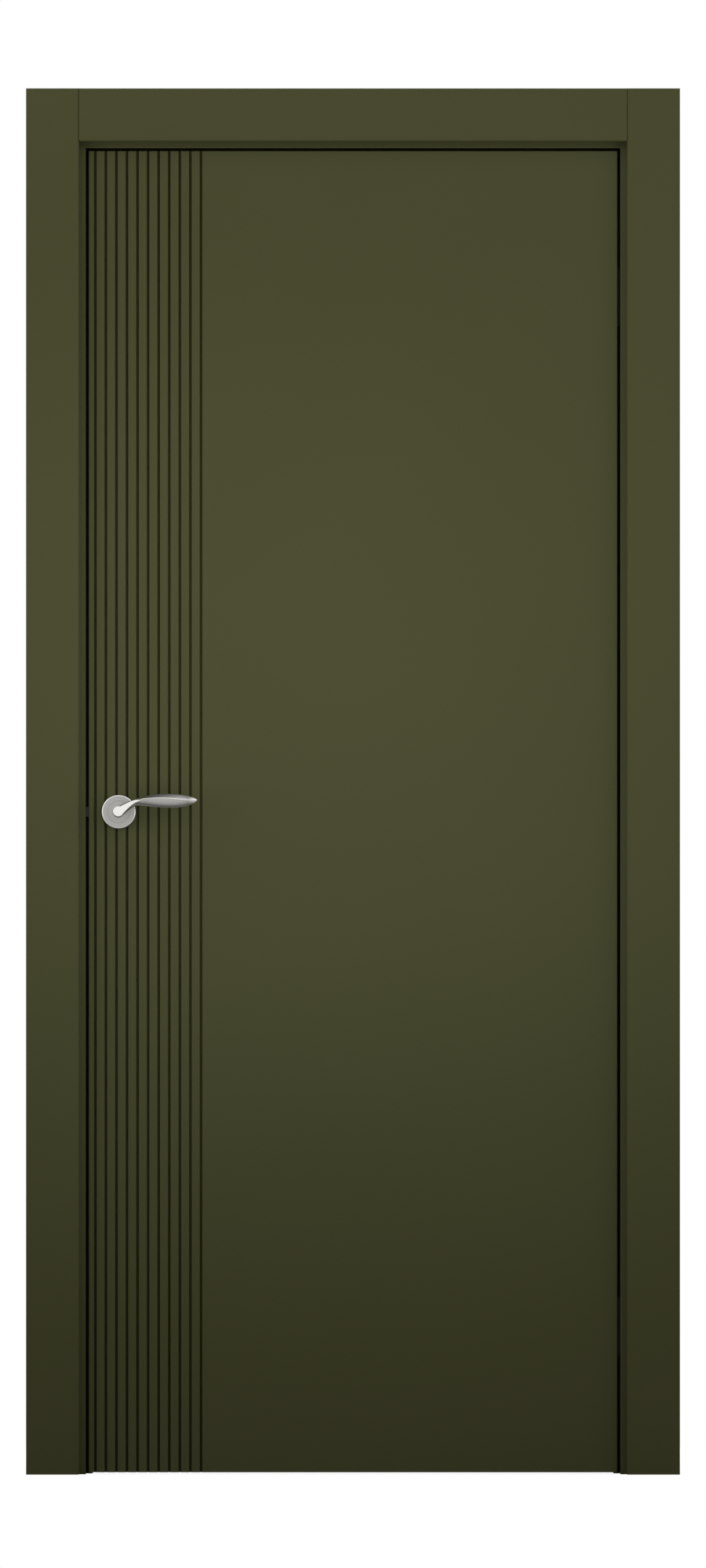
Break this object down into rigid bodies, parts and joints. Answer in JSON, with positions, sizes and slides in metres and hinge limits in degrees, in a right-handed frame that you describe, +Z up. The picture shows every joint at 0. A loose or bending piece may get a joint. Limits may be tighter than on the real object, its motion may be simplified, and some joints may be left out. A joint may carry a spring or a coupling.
{
  "type": "interior door with frame",
  "caption": "Flush interior door leaf with upright grooves along its lock side, hung on concealed hinges in a frame with planted stops and flat architraves, with a lever latch.",
  "frame": {"origin": "on the floor, in the middle of the opening and of the leaf's thickness", "axes": "+X to the viewer's right along the wall, +Y into the wall away from the opening side, +Z up"},
  "size_m": [0.989, 0.1526, 2.0975],
  "materials": {
    "olive_enamel": "smooth satin olive enamel on engineered wood",
    "seal_rubber": "matt extruded rubber",
    "zinc_casting": "die-cast zinc, plated black, dull",
    "steel": "plated steel",
    "satin_nickel": "satin nickel plated casting",
    "black_nylon": "moulded nylon, quiet against the strike"
  },
  "bodies": {
    "frame": {"lock_jamb": "olive_enamel", "hinge_jamb": "olive_enamel", "head_jamb": "olive_enamel", "lock_stop": "olive_enamel", "hinge_stop": "olive_enamel", "head_stop": "olive_enamel", "front_lock_architrave": "olive_enamel", "front_hinge_architrave": "olive_enamel", "front_head_architrave": "olive_enamel", "back_lock_architrave": "olive_enamel", "back_hinge_architrave": "olive_enamel", "back_head_architrave": "olive_enamel", "lock_seal": "seal_rubber", "hinge_seal": "seal_rubber", "head_seal": "seal_rubber", "upper_jamb_cup": "zinc_casting", "lower_jamb_cup": "zinc_casting", "upper_jamb_pin": "steel", "lower_jamb_pin": "steel", "jamb_cup_screws": "steel", "strike_plate": "steel", "strike_screws": "steel"},
    "hinge_arms": {"upper_hinge_arm": "zinc_casting", "lower_hinge_arm": "zinc_casting"},
    "leaf": {"leaf": "olive_enamel", "upper_leaf_cup": "zinc_casting", "lower_leaf_cup": "zinc_casting", "upper_leaf_pin": "steel", "lower_leaf_pin": "steel", "leaf_cup_screws": "steel", "latch_case": "zinc_casting", "latch_cover": "zinc_casting", "latch_faceplate": "steel", "faceplate_screws": "steel", "front_rose": "satin_nickel", "back_rose": "satin_nickel", "front_rose_base": "zinc_casting", "back_rose_base": "zinc_casting", "rose_bolts": "steel"},
    "handle": {"latch_follower": "zinc_casting", "spindle": "steel", "front_lever": "satin_nickel", "back_lever": "satin_nickel"},
    "latch": {"latch_bolt": "black_nylon"}
  },
  "joints": [
    {"name": "arm_swing", "type": "hinge", "parent": "frame", "child": "hinge_arms", "pos_m": [0.4265, -0.011, 1], "axis": [0, 0, 1], "range_deg": [0, 55]},
    {"name": "leaf_swing", "type": "hinge", "parent": "hinge_arms", "child": "leaf", "pos_m": [0.378, -0.011, 1], "axis": [0, 0, 1], "range_deg": [0, 55]},
    {"name": "handle_turn", "type": "hinge", "parent": "leaf", "child": "handle", "pos_m": [-0.3545, 0, 1.003], "axis": [0, 1, 0], "range_deg": [0, 40], "stiffness_Nm_per_rad": 1.2, "springref_deg": -28.65},
    {"name": "latch_slide", "type": "slide", "parent": "leaf", "child": "latch", "axis": [1, 0, 0], "range_m": [0, 0.0077]}
  ],
  "couplings": [
    {"joint": "arm_swing", "follows": "leaf_swing", "ratio": 1},
    {"joint": "latch_slide", "follows": "handle_turn", "m_per_rad": 0.011}
  ]
}
